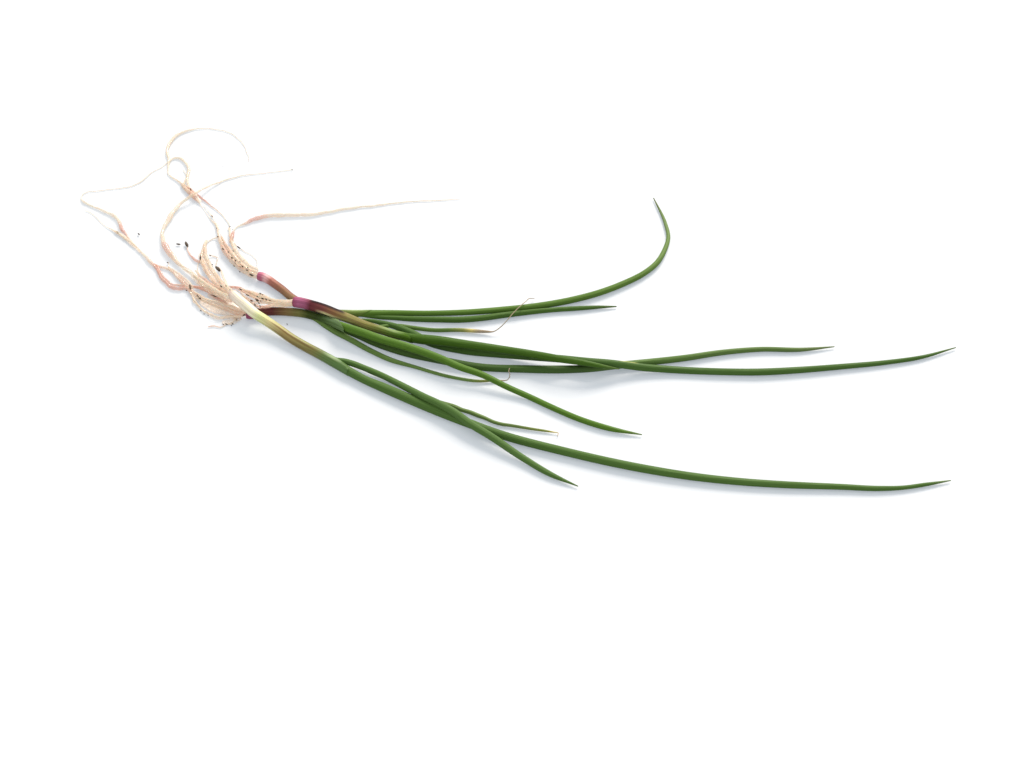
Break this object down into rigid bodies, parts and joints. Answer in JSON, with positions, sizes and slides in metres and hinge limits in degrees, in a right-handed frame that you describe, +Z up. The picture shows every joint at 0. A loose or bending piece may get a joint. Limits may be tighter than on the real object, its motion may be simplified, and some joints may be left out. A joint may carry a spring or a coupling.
{
  "type": "spring onion microgreens",
  "caption": "Spring onion seedlings pulled with their roots and laid crossed, with tinted sheaths, tubular pointed leaves and thin pale roots.",
  "frame": {"origin": "spot under the crossing of the stems where the lowest stem rests on the table", "axes": "+X along the leaves, from the roots towards the longest leaf tips, +Y across them on the table, +Z up from the table"},
  "size_m": [0.2072, 0.1237, 0.005],
  "materials": {
    "leaf_green": "waxy green leaf with a soft sheen",
    "brown_sheath": "smooth moist sheath, pink at the foot and reddish brown above",
    "plum_sheath": "smooth moist sheath, magenta at the foot, maroon, then olive",
    "olive_sheath": "smooth moist sheath, dark maroon turning olive brown",
    "cream_sheath": "smooth moist sheath, white at the foot, pale green, then striped olive",
    "root_cream": "wet, slightly translucent cream roots with salmon patches"
  },
  "bodies": {
    "root": {"back_stem": "brown_sheath", "back_leaf_curled": "leaf_green", "back_leaf_short": "leaf_green", "back_roots": "root_cream", "middle_stem": "plum_sheath", "middle_leaf_top": "leaf_green", "middle_leaf_long": "leaf_green", "middle_leaf_withered": "leaf_green", "middle_roots": "root_cream", "low_stem": "olive_sheath", "low_leaf_top": "leaf_green", "low_leaf_long": "leaf_green", "low_leaf_withered": "leaf_green", "low_roots": "root_cream", "front_stem": "cream_sheath", "front_leaf_top": "leaf_green", "front_leaf_long": "leaf_green", "front_leaf_withered": "leaf_green", "front_roots": "root_cream"}
  },
  "joints": []
}
